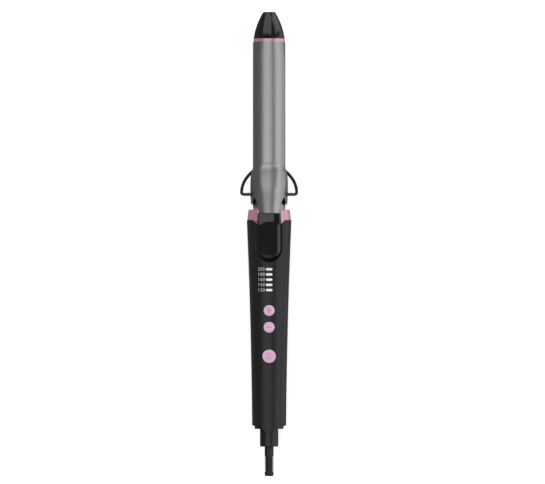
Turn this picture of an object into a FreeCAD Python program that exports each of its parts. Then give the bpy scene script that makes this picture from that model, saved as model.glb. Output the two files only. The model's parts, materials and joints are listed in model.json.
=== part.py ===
"""Curling iron: a heated barrel with a sprung clamp, a folding wire stand and a
handle with buttons, lying on its back.

Every sub-part is drawn in the barrel's own frame: the origin is on the barrel's
axis at the tip's end, Y runs from the handle to the tip, so that a station, the
distance from the tip, is -Y, and Z is the height above the axis.
A Placement then puts each sub-part into the frame of the whole object: origin
under its middle, on the surface that it lies on.
"""
import FreeCAD, Part
import math
import os
import re

import Sketcher

V = FreeCAD.Vector
UP = V(0, 0, 1)

# ---------------------------------------------------------------- driving sizes
SIZES = {
    "overall_length": 357.5,
    "axis_height": 15.5,
    # cool tip and its ring
    "tip_length": 20.5,
    "tip_base_radius": 12.0,
    "tip_end_radius": 4.55,
    "tip_curve_radius": 52.0,
    "tip_cup_radius": 9.8,
    "tip_cup_station": 14.2,
    "ring_length": 2.6,
    # barrel
    "barrel_radius": 12.5,
    "barrel_wall": 1.2,
    "barrel_end": 150.6,
    "core_end": 33.0,
    "spreader_start": 42.0,
    "spreader_length": 72.0,
    "spreader_wall": 1.8,
    "heater_width": 10.0,
    "heater_thickness": 2.0,
    "film_thickness": 0.15,
    "film_gap": 0.02,
    "lead_radius": 0.6,
    "lead_spacing": 4.4,
    "socket_bore": 6.5,
    "socket_start": 143.5,
    "socket_end": 163.2,
    # clamp
    "clamp_sheet": 0.6,
    "clamp_gap": 0.25,
    "clamp_front": 28.5,
    "clamp_edge_height": 5.0,
    "hood_front": 116.7,
    "hinge_station": 140.5,
    "hinge_height": 5.5,
    "ear_end": 148.6,
    "ear_inner": 12.9,
    "neck_end": 166.0,
    "neck_height": 20.95,
    "hinge_rivet_radius": 2.0,
    "hinge_rivet_start": 9.4,
    "hinge_rivet_end": 13.9,
    "bracket_sheet": 0.5,
    "bracket_start": 133.0,
    "bracket_end": 149.0,
    "notch_root": 144.6,
    "rivet_radius": 1.2,
    "lever_start": 154.8,
    "lever_end": 188.6,
    "lever_half_width": 8.75,
    "lever_top": 22.4,
    "lever_rise": 2.6,
    "lever_thickness": 3.8,
    "spring_station": 168.5,
    "spring_radius": 2.9,
    "spring_wire": 0.35,
    "spring_coils": 6.0,
    "spring_bottom": 8.3,
    "spring_top": 19.6,
    # wire stand
    "wire_radius": 1.2,
    "stand_half_width": 21.2,
    "stand_reach": 29.3,
    "stand_corner": 2.0,
    "stand_nose_radius": 17.0,
    "stand_fold": 41.6,
    # handle
    "neck_ring_radius": 12.3,
    "collar_start": 152.3,
    "collar_end": 160.3,
    "collar_front_radius": 15.9,
    "collar_back_radius": 16.7,
    "fang_end": 163.6,
    "handle_front": 17.2,
    "handle_middle": 14.47,
    "handle_middle_station": 240.0,
    "handle_back": 13.1,
    "handle_end": 318.6,
    "tongue_end": 323.3,
    "shell_wall": 1.8,
    "recess_half_width": 9.3,
    "recess_end": 192.9,
    "recess_front_floor": 12.2,
    "recess_slope_foot": 189.4,
    "recess_back_floor": 9.8,
    "recess_rim": 0.7,
    "small_button_radius": 4.18,
    "power_button_radius": 5.12,
    "plus_station": 229.8,
    "minus_station": 242.7,
    "power_station": 265.0,
    "button_fit": 0.08,
    "mark_depth": 0.45,
    "button_rim_gap": 0.45,
    "seam_gap": 0.12,
    "board_bottom": 3.0,
    "board_top": 4.6,
    "board_start": 186.5,
    "board_end": 287.5,
    "board_half_width": 8.4,
    "bar_station": 198.1,
    "bar_pitch": 4.0,
    "bar_length": 5.1,
    "bar_width": 1.8,
    "lens_length": 5.4,
    "lens_station": 191.2,
    "front_screw": 179.0,
    "rear_screw": 293.5,
    # cord exit
    "swivel_radius": 7.07,
    "swivel_end": 334.7,
    "relief_radius": 3.48,
    "first_groove": 342.6,
    "rib_pitch": 1.5,
    "groove_width": 0.65,
    "groove_depth": 0.8,
    "cord_bore_radius": 2.4,
    "running_gap": 0.05,
}

# ---------------------------------------------------------------- fixed counts, stations and tables
# stations of the bracket's two rivets and of the lever's screw
BRACKET_RIVETS = ("136", "142")
LEVER_SCREW = 160.5
SCREW_HOLE = 1.3
SCREW_HEAD_RADIUS = 2.6
# the hood's outer half-width and height above the axis at each station
HOOD = (
    (111, 11.4, 11.8), (116.7, 12.6, 13.4), (120.5, 13.3, 15.5), (127, 14.0, 16.5), (137.5, 14.5, 17.4),
    (148.6, 14.0, 19.0), (158, 13.5, 20.1), (171, 13.4, 20.9),
)
HOOD_SECTIONS = 13
HANDLE_SECTIONS = 10
# the front panel's half-width at each station
PANEL_HALF_WIDTHS = (
    (158.3, 15.6), (180, 14.2), (222, 11.5), (253, 10.2), (276, 9.2), (299, 8.3), (312, 7.7), (318.5, 6.2),
    (321.8, 4.0),
)
# each button's name and radius, and the height of the panel's crown there
BUTTONS = (
    ("plus", "small_button_radius", "14.75"),
    ("minus", "small_button_radius", "14.4"),
    ("power", "power_button_radius", "13.86"),
)
BARS = 5
LENS_FIT = 0.04
# the boot's flange, held in the swivel
FLANGE_RADIUS = "5"
FLANGE_START = "322"
FLANGE_END = "328"
RIB_GROOVES = 8

doc = FreeCAD.newDocument("CurlingIron")
sheet = doc.addObject("Spreadsheet::Sheet", "Sizes")
for row, (alias, value) in enumerate(SIZES.items(), start=1):
    sheet.set(f"A{row}", alias.replace("_", " "))
    sheet.set(f"B{row}", str(value))
    sheet.setAlias(f"B{row}", alias)
doc.recompute()

parts = {}


def size(expression):
    """The value of an expression in the sheet's aliases."""
    return float(sheet.evalExpression(str(expression)))


def bound(expression):
    """The same expression as another object of the document writes it."""
    def named(word):
        return "Sizes." + word[0] if word[0] in SIZES else word[0]

    return re.sub(r"[a-z_]+", named, str(expression))


def bind(item, name, expression):
    """Sets a property from the sheet and keeps it bound to it."""
    setattr(item, name, size(expression))
    item.setExpression(name, bound(expression))


def place(item, label):
    """Puts a finished sub-part where the barrel's frame lies in the whole object."""
    item.Label = label
    origin = V(0, size("overall_length / 2"), size("axis_height"))
    item.Placement = FreeCAD.Placement(origin, FreeCAD.Rotation())
    item.setExpression("Placement.Base.y", bound("overall_length / 2"))
    item.setExpression("Placement.Base.z", bound("axis_height"))
    parts[label] = item
    return item


# ---------------------------------------------------------------- sketch helpers
def new_sketch(body, plane, offset="0"):
    """A sketch on one of the body's own origin planes, moved along its normal."""
    sketch = body.newObject("Sketcher::SketchObject", "Sketch")
    base = next(item for item in body.Origin.OriginFeatures if item.Role == plane)
    sketch.AttachmentSupport = [(base, "")]
    sketch.MapMode = "FlatFace"
    sketch.AttachmentOffset = FreeCAD.Placement(V(0, 0, size(offset)), FreeCAD.Rotation())
    if offset != "0":
        sketch.setExpression("AttachmentOffset.Base.z", bound(offset))
    return sketch


def constrain(sketch, kind, geometry, point, expression):
    """A driving dimension bound to the sheet."""
    if kind == "Radius":
        index = sketch.addConstraint(Sketcher.Constraint("Radius", geometry, size(expression)))
    else:
        index = sketch.addConstraint(Sketcher.Constraint(kind, -1, 1, geometry, point, size(expression)))
    sketch.setExpression(f"Constraints[{index}]", bound(expression))


def arc_between(start, end, radius, bulge):
    """A circular arc from start to end; bulge +1 lies to the left of the chord, -1 to its right."""
    chord = end - start
    side = V(-chord.y, chord.x, 0).normalize() * bulge
    depth = math.sqrt(max(radius**2 - (chord.Length / 2) ** 2, 0))
    centre = (start + end) * 0.5 - side * depth
    first, last = (start, end) if bulge < 0 else (end, start)
    angles = [math.atan2(point.y - centre.y, point.x - centre.x) for point in (first, last)]
    return Part.ArcOfCircle(Part.Circle(centre, UP, radius), angles[0], angles[1])


def draw_outline(sketch, corners, arcs=None):
    """A closed outline through corners given as pairs of expressions.

    arcs maps a side's number to (radius expression, bulge); the others are straight.
    """
    arcs = arcs or {}
    points = [V(size(x), size(y), 0) for x, y in corners]
    sides = []
    for number, start in enumerate(points):
        end = points[(number + 1) % len(points)]
        if number in arcs:
            radius, bulge = arcs[number]
            geometry = sketch.addGeometry(arc_between(start, end, size(radius), bulge), False)
            sides.append((geometry, 1, 2) if bulge < 0 else (geometry, 2, 1))
        else:
            sides.append((sketch.addGeometry(Part.LineSegment(start, end), False), 1, 2))
    for number, (geometry, start_point, end_point) in enumerate(sides):
        next_geometry, next_start, _ = sides[(number + 1) % len(sides)]
        sketch.addConstraint(
            Sketcher.Constraint("Coincident", geometry, end_point, next_geometry, next_start)
        )
        constrain(sketch, "DistanceX", geometry, start_point, corners[number][0])
        constrain(sketch, "DistanceY", geometry, start_point, corners[number][1])
        if number in arcs:
            constrain(sketch, "Radius", geometry, None, arcs[number][0])


def draw_circle(sketch, x, y, radius):
    geometry = sketch.addGeometry(Part.Circle(V(size(x), size(y), 0), UP, size(radius)), False)
    constrain(sketch, "DistanceX", geometry, 3, x)
    constrain(sketch, "DistanceY", geometry, 3, y)
    constrain(sketch, "Radius", geometry, None, radius)


def draw_box(sketch, low, high):
    corners = [(low[0], low[1]), (high[0], low[1]), (high[0], high[1]), (low[0], high[1])]
    draw_outline(sketch, corners)


# ---------------------------------------------------------------- body helpers
def new_body(label):
    return place(doc.addObject("PartDesign::Body", label), label)


def revolve(body, sketch, axis="V_Axis", angle=360, midplane=False):
    feature = body.newObject("PartDesign::Revolution", "Revolution")
    feature.Profile = sketch
    feature.ReferenceAxis = (sketch, [axis])
    feature.Angle = angle
    feature.Midplane = midplane
    doc.recompute()
    return feature


def pad(body, sketch, length, midplane=False, reverse=False):
    feature = body.newObject("PartDesign::Pad", "Pad")
    feature.Profile = sketch
    bind(feature, "Length", length)
    feature.Midplane = midplane
    feature.Reversed = reverse
    doc.recompute()
    return feature


def pocket(body, sketch, length=None, midplane=False, reverse=False):
    """Cuts a sketch out of the body, through all of it when no length is given."""
    before = body.Shape.Volume
    feature = body.newObject("PartDesign::Pocket", "Pocket")
    feature.Profile = sketch
    feature.Midplane = midplane
    feature.Reversed = reverse
    if length is None:
        feature.Type = "ThroughAll"
    else:
        bind(feature, "Length", length)
    doc.recompute()
    if body.Shape.Volume > before - 1e-6:
        raise RuntimeError(f"a pocket of {body.Label} cuts nothing")
    return feature


def round_edges(body, radius, chosen):
    """Rounds the edges that the test picks."""
    shape = body.Shape.copy()
    shape.Placement = FreeCAD.Placement()
    names = [f"Edge{number}" for number, edge in enumerate(shape.Edges, start=1) if chosen(edge)]
    if not names:
        raise RuntimeError(f"no edge of {body.Label} is picked")
    base = body.Tip
    feature = body.newObject("PartDesign::Fillet", "Fillet")
    feature.Base = (base, names)
    bind(feature, "Radius", radius)
    doc.recompute()
    return feature


def turned(label, profile, arcs=None):
    """A body turned about the barrel's axis from (radius, station) corners."""
    body = new_body(label)
    sketch = new_sketch(body, "XY_Plane")
    draw_outline(sketch, [(radius, f"-({station})") for radius, station in profile], arcs)
    revolve(body, sketch)
    return body


def ring_profile(inner, outer, start, end):
    return [(inner, start), (outer, start), (outer, end), (inner, end)]


def long_box(label, low, high, start, length):
    """A straight bar along the barrel from a box in X and Z."""
    body = new_body(label)
    sketch = new_sketch(body, "XZ_Plane", start)
    draw_box(sketch, low, high)
    pad(body, sketch, length)
    return body


def solid(label, shape):
    """A sub-part whose shape no single feature makes."""
    item = doc.addObject("Part::Feature", label)
    # a shape that was moved keeps its move inside a compound, because Placement is set next
    item.Shape = shape if shape.Placement.isIdentity() else Part.makeCompound([shape])
    return place(item, label)


# ---------------------------------------------------------------- plain solids in the barrel's frame
def at(x, station, height):
    return V(x, -station, height)


def block(x, stations, heights):
    """A box from x[0] to x[1], between two stations and two heights."""
    corner = at(x[0], stations[1], heights[0])
    return Part.makeBox(x[1] - x[0], stations[1] - stations[0], heights[1] - heights[0], corner)


def bar(radius, start, end, x=0, height=0):
    """A round bar along the barrel."""
    return Part.makeCylinder(radius, end - start, at(x, start, height), V(0, -1, 0))


def post(radius, station, heights, x=0):
    """An upright round bar."""
    return Part.makeCylinder(radius, heights[1] - heights[0], at(x, station, heights[0]), UP)


def polygon(points):
    return Part.makePolygon(points + points[:1])


def plan_prism(points, low, high):
    """An upright prism over a plan outline of (x, station) points."""
    return Part.Face(polygon([at(x, station, low) for x, station in points])).extrude(V(0, 0, high - low))


def mirrored_plan(points):
    """A plan outline given on its +X side, closed over both sides."""
    return points + [(-x, station) for x, station in reversed(points)]


def slot(centre_station, length, width, low, high):
    """An upright prism with round ends, long in X."""
    half = (length - width) / 2
    sides = (centre_station - width / 2, centre_station + width / 2)
    shape = block((-half, half), sides, (low, high))
    for x in (-half, half):
        shape = shape.fuse(post(width / 2, centre_station, (low, high), x))
    return shape.removeSplitter()


def largest(shape):
    return max(shape.Solids, key=lambda piece: piece.Volume)


# ---------------------------------------------------------------- barrel end
def make_tip():
    pilot_radius, pilot_end = "1.5", "7"
    tip = turned(
        "cool_tip",
        [
            ("0", "0"), ("tip_end_radius", "0"), ("tip_base_radius", "tip_length"),
            ("tip_cup_radius", "tip_length"), ("tip_cup_radius", "tip_cup_station"),
            (pilot_radius, "tip_cup_station"), (pilot_radius, pilot_end), ("0", pilot_end),
        ],
        arcs={1: ("tip_curve_radius", 1)},
    )
    round_edges(tip, "0.8", lambda edge: abs(edge.BoundBox.YMin) < 0.01 and edge.BoundBox.YLength < 0.01)
    ring_end = "tip_length + ring_length"
    turned("tip_ring", ring_profile("tip_cup_radius", "tip_base_radius", "tip_length", ring_end))
    spigot, bore = "tip_cup_radius - 0.05", "barrel_radius - barrel_wall"
    seat, hole, well = "tip_cup_station + 6", "1.6", "3.3"
    turned(
        "tip_core",
        [
            (hole, "tip_cup_station"), (spigot, "tip_cup_station"), (spigot, ring_end), (bore, ring_end),
            (bore, "core_end"), (well, "core_end"), (well, seat), (hole, seat),
        ],
    )
    shank, head, head_end = "1.45", "2.9", f"{seat} + 2.2"
    turned(
        "tip_screw",
        [("0", "8"), (shank, "8"), (shank, seat), (head, seat), (head, head_end), ("0", head_end)],
    )


def make_barrel():
    bore, start = "barrel_radius - barrel_wall", "tip_length + ring_length"
    tube = turned("barrel_tube", ring_profile(bore, "barrel_radius", start, "barrel_end"))
    rivet_holes = new_sketch(tube, "XY_Plane")
    for station in BRACKET_RIVETS:
        draw_circle(rivet_holes, "0", f"-({station})", "rivet_radius")
    pocket(tube, rivet_holes, reverse=True)
    hinge_hole = new_sketch(tube, "YZ_Plane")
    draw_circle(hinge_hole, "-hinge_station", "hinge_height", "hinge_rivet_radius")
    pocket(tube, hinge_hole, midplane=True)
    turned("neck_ring", ring_profile(bore, "neck_ring_radius", "barrel_end", "collar_start"))


def make_heater():
    half, thick = "heater_width / 2", "heater_thickness / 2"
    start, length = "spreader_start + 1", "spreader_length - 2"
    long_box("ptc_heater", (f"-({half})", f"-({thick})"), (half, thick), start, length)
    sleeve = new_body("heater_film")
    section = new_sketch(sleeve, "XZ_Plane", start)
    for grow in ("film_thickness", "film_gap"):
        low = (f"-({half}) - {grow}", f"-({thick}) - {grow}")
        draw_box(section, low, (f"{half} + {grow}", f"{thick} + {grow}"))
    pad(sleeve, section, length)
    for label, side in (("upper_heat_spreader", 1), ("lower_heat_spreader", -1)):
        make_spreader(label, side)
    solid("thermistor", bar(0.9, 96, 102, x=8))
    solid("thermal_fuse", bar(1.0, 86, 96, x=-8))


def make_spreader(label, side):
    """A hollow half-round extrusion that lies against the inside of the barrel."""
    outer, wall = size("barrel_radius - barrel_wall - 0.1"), size("spreader_wall")
    base = size("heater_thickness / 2 + film_thickness + film_gap")
    start, end = size("spreader_start"), size("spreader_start + spreader_length")
    body = bar(outer, start, end).common(block((-outer, outer), (start, end), (base, outer)))
    hollow = bar(outer - wall, start, end).common(block((-outer, outer), (start, end), (base + wall, outer)))
    shape = body.cut(hollow)
    if side < 0:
        shape = shape.mirror(V(0, 0, 0), UP)
    solid(label, shape)


def make_leads():
    """Two insulated wires from the heater, through the socket and up to the control board."""
    radius, start = size("lead_radius"), size("spreader_start + spreader_length") + 1
    under_board = size("board_bottom - lead_radius - running_gap")
    shapes = []
    for side in (-1, 1):
        x = side * size("lead_spacing")
        points = [at(x, start, 0), at(x, 190, 0), at(x, 198, under_board), at(x, 206, under_board)]
        path = bent_wire(points, radius=8)
        profile = Part.Wire(Part.makeCircle(radius, at(x, start, 0), V(0, 1, 0)))
        shapes.append(path.makePipeShell([profile], True, True))
    solid("heater_leads", Part.makeCompound(shapes))


def bent_wire(points, radius):
    """A path of straight runs joined by tangent arcs of one radius."""
    edges, start = [], points[0]
    for before, corner, after in zip(points, points[1:], points[2:]):
        towards, onwards = (before - corner).normalize(), (after - corner).normalize()
        half_turn = (math.pi - towards.getAngle(onwards)) / 2
        cut = radius * math.tan(half_turn)
        first, last = corner + towards * cut, corner + onwards * cut
        centre = corner + (towards + onwards).normalize() * (radius / math.cos(half_turn))
        middle = centre + (corner - centre).normalize() * radius
        edges += [Part.LineSegment(start, first).toShape(), Part.Arc(first, middle, last).toShape()]
        start = last
    edges.append(Part.LineSegment(start, points[-1]).toShape())
    return Part.Wire(edges)


def make_socket():
    """The insulating holder: a plug inside the barrel and a flange held by the shells."""
    plug, flange = "barrel_radius - barrel_wall - 0.05", "13.4"
    socket = turned(
        "barrel_socket",
        [
            ("socket_bore", "socket_start"), (plug, "socket_start"), (plug, "collar_end + 0.6"),
            (flange, "collar_end + 0.6"), (flange, "socket_end"), ("socket_bore", "socket_end"),
        ],
    )
    flat = new_sketch(socket, "XZ_Plane", "collar_end")
    draw_box(flat, ("-15", "9.2"), ("15", "16"))
    pocket(socket, flat, "socket_end", reverse=True)


# ---------------------------------------------------------------- hinge, clamp and stand
def make_bracket():
    """A saddle over the barrel, notched between its two arms."""
    outer = "barrel_radius + bracket_sheet"
    wrap_angle = 152
    bracket = new_body("hinge_bracket")
    section = new_sketch(bracket, "YZ_Plane")
    draw_box(section, ("-bracket_end", "barrel_radius"), ("-bracket_start", outer))
    revolve(bracket, section, "H_Axis", wrap_angle, midplane=True)
    notch = new_sketch(bracket, "XY_Plane")
    mouth, root, mouth_y, root_y = "12.8", "9.4", "-(bracket_end + 1)", "-notch_root"
    draw_outline(notch, [(f"-{mouth}", mouth_y), (mouth, mouth_y), (root, root_y), (f"-{root}", root_y)])
    pocket(bracket, notch, reverse=True)
    holes = new_sketch(bracket, "XY_Plane")
    for station in BRACKET_RIVETS:
        draw_circle(holes, "0", f"-({station})", "rivet_radius")
    pocket(bracket, holes, reverse=True)
    hinge_hole = new_sketch(bracket, "YZ_Plane")
    draw_circle(hinge_hole, "-hinge_station", "hinge_height", "hinge_rivet_radius")
    pocket(bracket, hinge_hole, midplane=True)
    inside, top, rivet = size("barrel_radius - barrel_wall"), size(outer), size("rivet_radius")
    start, end = size("bracket_start"), size("bracket_end")
    rivets = []
    for station in BRACKET_RIVETS:
        shank = post(rivet, float(station), (inside, top)).cut(bar(inside, start, end))
        head = post(rivet + 0.9, float(station), (top, top + 0.7)).cut(bar(top, start, end))
        rivets.append(shank.fuse(head))
    solid("bracket_rivets", Part.makeCompound(rivets))


def make_hinge_rivets():
    """Hollow rivets that the clamp turns on, with the stand's wire in their bores."""
    pivot = at(0, size("hinge_station"), size("hinge_height"))
    start, end = size("hinge_rivet_start"), size("hinge_rivet_end")
    for label, side in (("left_hinge_rivet", -1), ("right_hinge_rivet", 1)):
        outward = V(side, 0, 0)
        outside = Part.makeCylinder(size("hinge_rivet_radius"), end - start, pivot + outward * start, outward)
        wire_bore = size("wire_radius + running_gap")
        bore = Part.makeCylinder(wire_bore, end, pivot + outward * (start - 4), outward)
        solid(label, outside.cut(bore))


def ellipse_wire(station, half_width, height):
    centre = at(0, station, 0)
    return Part.Wire(Part.Ellipse(centre - V(0, 0, height), centre + V(half_width, 0, 0), centre).toShape())


def follow(points, station):
    """A smooth curve through (station, value) points that never overshoots them."""
    spans = list(zip(points, points[1:]))
    slopes = [(after[1] - before[1]) / (after[0] - before[0]) for before, after in spans]
    tangents = [slopes[0]]
    for before, after in zip(slopes, slopes[1:]):
        tangents.append(2 * before * after / (before + after) if before * after > 0 else 0)
    tangents.append(slopes[-1])
    index = max(number for number, (before, _) in enumerate(spans) if station >= before[0] or number == 0)
    (start, low), (end, high) = spans[index]
    length = end - start
    u = (station - start) / length
    return (
        low * (2 * u**3 - 3 * u**2 + 1) + high * (3 * u**2 - 2 * u**3)
        + length * (tangents[index] * (u**3 - 2 * u**2 + u) + tangents[index + 1] * (u**3 - u**2))
    )


def hood_solid(inset):
    widths = [(station, width) for station, width, _ in HOOD]
    heights = [(station, height) for station, _, height in HOOD]
    first, last = HOOD[0][0], HOOD[-1][0]
    wires = []
    for number in range(HOOD_SECTIONS):
        station = first + (last - first) * number / (HOOD_SECTIONS - 1)
        wires.append(ellipse_wire(station, follow(widths, station) - inset, follow(heights, station) - inset))
    return Part.makeLoft(wires, True)


def make_clamp():
    """One pressing: the jaw over the barrel, the raised hood, the ears and the neck."""
    gap, sheet = size("clamp_gap"), size("clamp_sheet")
    inner = size("barrel_radius") + gap
    front, hood_front = size("clamp_front"), size("hood_front")
    hood_sheet = sheet + 0.2
    outside = bar(inner + sheet, front, hood_front + 8).fuse(hood_solid(0))
    inside = bar(inner, front - 1, hood_front + 12).fuse(hood_solid(hood_sheet))
    shell = outside.cut(inside)

    # plan: round front corners, ears, notches beside the neck, and the neck's end
    ear_end, ear, neck_end = size("ear_end"), size("ear_inner"), size("neck_end")
    notch = ear_end - 5.8
    plan = [
        (0, front), (6.5, front), (8.6, front + 0.6), (10.4, front + 2.3), (11.6, front + 5),
        (12.2, front + 8.5), (16, front + 9), (16, ear_end - 3.4), (14.35, ear_end - 2),
        (14.0, ear_end - 0.8), (13.5, ear_end - 0.15), (13.1, ear_end - 0.15), (ear - 0.1, ear_end - 0.8),
        (ear - 0.4, ear_end - 2),
        (11.9, notch + 0.5), (11.5, notch), (11.1, notch + 0.3), (10.4, notch + 1.9), (9.6, notch + 3.5),
        (8.8, notch + 5.5), (8.2, notch + 8), (7.6, notch + 12), (7.3, neck_end),
    ]
    shape = shell.common(plan_prism(mirrored_plan(plan), -5, 30))

    # side: straight lower edge of the jaw, the ears hanging lower, the neck above the handle
    edge = size("clamp_edge_height")
    side = [
        (front - 1, edge), (119, edge), (123, 4), (129, -0.2), (133, -1), (143, -1), (146.5, 0.6),
        (ear_end, 4.5), (ear_end + 0.2, 9), (ear_end + 4, 13), (neck_end + 1, 14), (neck_end + 1, 30),
        (front - 1, 30),
    ]
    outline = Part.Face(polygon([at(-20, station, height) for station, height in side])).extrude(V(40, 0, 0))
    shape = shape.common(outline)

    pivot = at(-20, size("hinge_station"), size("hinge_height"))
    shape = shape.cut(Part.makeCylinder(size("hinge_rivet_radius + running_gap"), 40, pivot, V(1, 0, 0)))
    shape = shape.cut(post(SCREW_HOLE, LEVER_SCREW, (12, 25)))
    solid("clamp_jaw", largest(shape))


def make_lever():
    """The dished thumb lever, with a channel under it for the clamp's neck."""
    start, end, half, top = "lever_start", "lever_end", "lever_half_width", "lever_top"
    end_top = f"{top} + lever_rise"
    front_round, end_round = "2", "6.4"
    lever = new_body("thumb_lever")
    plan = new_sketch(lever, "XY_Plane", "14")
    draw_outline(
        plan,
        [
            (f"-({half} - {front_round})", f"-({start})"), (f"{half} - {front_round}", f"-({start})"),
            (half, f"-({start} + {front_round})"), (half, f"-({end} - {end_round})"),
            (f"{half} - {end_round}", f"-({end})"), (f"-({half} - {end_round})", f"-({end})"),
            (f"-({half})", f"-({end} - {end_round})"), (f"-({half})", f"-({start} + {front_round})"),
        ],
        arcs={1: (front_round, 1), 3: (end_round, 1), 5: (end_round, 1), 7: (front_round, 1)},
    )
    pad(lever, plan, "14")
    above = new_sketch(lever, "YZ_Plane")
    front_y, end_y = f"-({start}) + 1", f"-({end}) - 1"
    draw_outline(
        above,
        [(front_y, "30"), (front_y, top), (end_y, end_top), (end_y, "30")],
        arcs={1: ("130", 1)},
    )
    pocket(lever, above, midplane=True)
    below = new_sketch(lever, "YZ_Plane")
    draw_outline(
        below,
        [(front_y, "13"), (end_y, "13"), (end_y, f"{end_top} - 1.8"), (front_y, f"{top} - lever_thickness")],
    )
    pocket(lever, below, midplane=True)
    channel = new_sketch(lever, "XZ_Plane", f"{start} - 1")
    draw_box(channel, ("-7.7", "14"), ("7.7", "neck_height"))
    pocket(lever, channel, "neck_end + 1.4 - lever_start", reverse=True)
    screw_hole = new_sketch(lever, "XY_Plane", "18")
    draw_circle(screw_hole, "0", str(-LEVER_SCREW), str(SCREW_HOLE))
    pocket(lever, screw_hole, "3.4", reverse=True)
    head_foot, head_top, shank_end = 17.7, 18.9, 21.3
    shank = post(SCREW_HOLE - 0.05, LEVER_SCREW, (head_top - 0.2, shank_end))
    head = post(2.0, LEVER_SCREW, (head_foot, head_top))
    solid("lever_screw", shank.fuse(head).removeSplitter())


def make_clamp_spring():
    """The coil under the lever, standing in a well of the recess."""
    radius, wire = size("spring_radius"), size("spring_wire")
    bottom, top = size("spring_bottom + spring_wire") + 0.02, size("spring_top - spring_wire")
    helix = Part.makeHelix((top - bottom) / size("spring_coils"), top - bottom, radius)
    profile = Part.Wire(Part.makeCircle(wire, V(radius, 0, 0), V(0, 1, 0)))
    coil = Part.Wire(helix).makePipeShell([profile], True, True)
    coil.translate(at(0, size("spring_station"), bottom))
    solid("clamp_spring", coil)


def make_stand():
    """The bent wire, drawn flat about the hinge axis and folded against the barrel's back."""
    width, reach = size("stand_half_width"), size("stand_reach")
    corner, nose = size("stand_corner"), size("stand_nose_radius")
    nose_centre = reach - nose
    drop = nose_centre - corner
    # the side arcs are centred level with the corners and touch the nose arc
    side = (nose**2 - width**2 - drop**2) / (2 * (nose - width))
    side_centre = width - side
    toward_nose = V(-side_centre, drop, 0).normalize()

    def flat(x, along):
        return V(x, along, 0)

    edges = []
    for sign in (1, -1):
        leg_end = flat(sign * (width - corner), 0)
        bend_end = flat(sign * width, corner)
        inset = corner * (1 - math.sqrt(0.5))
        bend_middle = flat(sign * (width - inset), inset)
        touch = V(side_centre, corner, 0) + toward_nose * side
        angle = math.atan2(toward_nose.y, toward_nose.x) / 2
        middle = V(side_centre + side * math.cos(angle), corner + side * math.sin(angle), 0)
        run = [
            Part.LineSegment(flat(sign * size("hinge_rivet_start + 0.4"), 0), leg_end).toShape(),
            Part.Arc(leg_end, bend_middle, bend_end).toShape(),
            Part.Arc(bend_end, flat(sign * middle.x, middle.y), flat(sign * touch.x, touch.y)).toShape(),
        ]
        edges += run if sign > 0 else list(reversed(run))
        if sign > 0:
            edges.append(Part.Arc(touch, flat(0, reach), flat(-touch.x, touch.y)).toShape())
    path = Part.Wire(Part.__sortEdges__(edges))
    start = flat(size("hinge_rivet_start + 0.4"), 0)
    profile = Part.Wire(Part.makeCircle(size("wire_radius"), start, V(1, 0, 0)))
    wire = path.makePipeShell([profile], True, True)
    wire.rotate(V(0, 0, 0), V(1, 0, 0), -size("stand_fold"))
    wire.translate(at(0, size("hinge_station"), size("hinge_height")))
    solid("wire_stand", wire)


# ---------------------------------------------------------------- handle
def handle_half_width(station):
    """The handle narrows along a parabola through its width at the front, the middle and the end."""
    front, middle, back = size("collar_end"), size("handle_middle_station"), size("handle_end")
    first = (size("handle_middle") - size("handle_front")) / (middle - front)
    second = (size("handle_back") - size("handle_middle")) / (back - middle)
    bend = (second - first) / (back - front)
    return size("handle_front") + first * (station - front) + bend * (station - front) * (station - middle)


def handle_stations():
    first, last = size("collar_end") - 8, size("tongue_end") + 6
    step = (last - first) / (HANDLE_SECTIONS - 1)
    stations = [first + step * number for number in range(HANDLE_SECTIONS)]
    return [(station, handle_half_width(station)) for station in stations]


def handle_section(station, half_width, depth):
    """Round over the top, with sides that run down to a flat land."""
    land = math.sqrt(max(half_width**2 - depth**2, 0)) if half_width > depth else 0
    land = max(land, 3.5 + (half_width - 11) * 0.6)
    span = half_width - land
    radius = (span**2 + depth**2) / (2 * span)
    centre = half_width - radius
    angle = math.asin(depth / radius) / 2
    right, left = at(half_width, station, 0), at(-half_width, station, 0)
    foot_right, foot_left = at(land, station, -depth), at(-land, station, -depth)
    side_x, side_z = centre + radius * math.cos(angle), -radius * math.sin(angle)
    return Part.Wire([
        Part.Arc(left, at(0, station, half_width), right).toShape(),
        Part.Arc(right, at(side_x, station, side_z), foot_right).toShape(),
        Part.LineSegment(foot_right, foot_left).toShape(),
        Part.Arc(foot_left, at(-side_x, station, side_z), left).toShape(),
    ])


def handle_solid(inset):
    depth = size("axis_height") + 0.08
    wires = [handle_section(station, width - inset, depth - inset) for station, width in handle_stations()]
    return Part.makeLoft(wires, True)


def panel_plan(gap):
    """Plan of the front panel: its edges close in towards the tail and end in a round tongue."""
    right = [at(width + gap, station, 0) for station, width in PANEL_HALF_WIDTHS]
    left = [V(-point.x, point.y, 0) for point in right[:2]]
    curve = Part.BSplineCurve()
    curve.interpolate(right[1:] + [at(0, size("tongue_end") + gap, 0)])
    side = curve.toShape()
    edges = [
        Part.makeLine(left[0], right[0]), Part.makeLine(right[0], right[1]), side,
        side.mirror(V(0, 0, 0), V(1, 0, 0)), Part.makeLine(left[1], left[0]),
    ]
    return Part.Face(Part.Wire(Part.__sortEdges__(edges))).extrude(V(0, 0, 30))


def recess_section(height, foot, half_width, start):
    """Plan wire of the lever's recess at one height: a channel with a round end."""
    shoulder = size("recess_end - recess_half_width")
    corners = [
        at(half_width, start, height), at(half_width, shoulder, height),
        at(-half_width, shoulder, height), at(-half_width, start, height),
    ]
    return Part.Wire([
        Part.makeLine(corners[0], corners[1]),
        Part.Arc(corners[1], at(0, foot, height), corners[2]).toShape(),
        Part.makeLine(corners[2], corners[3]),
        Part.makeLine(corners[3], corners[0]),
    ])


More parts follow.
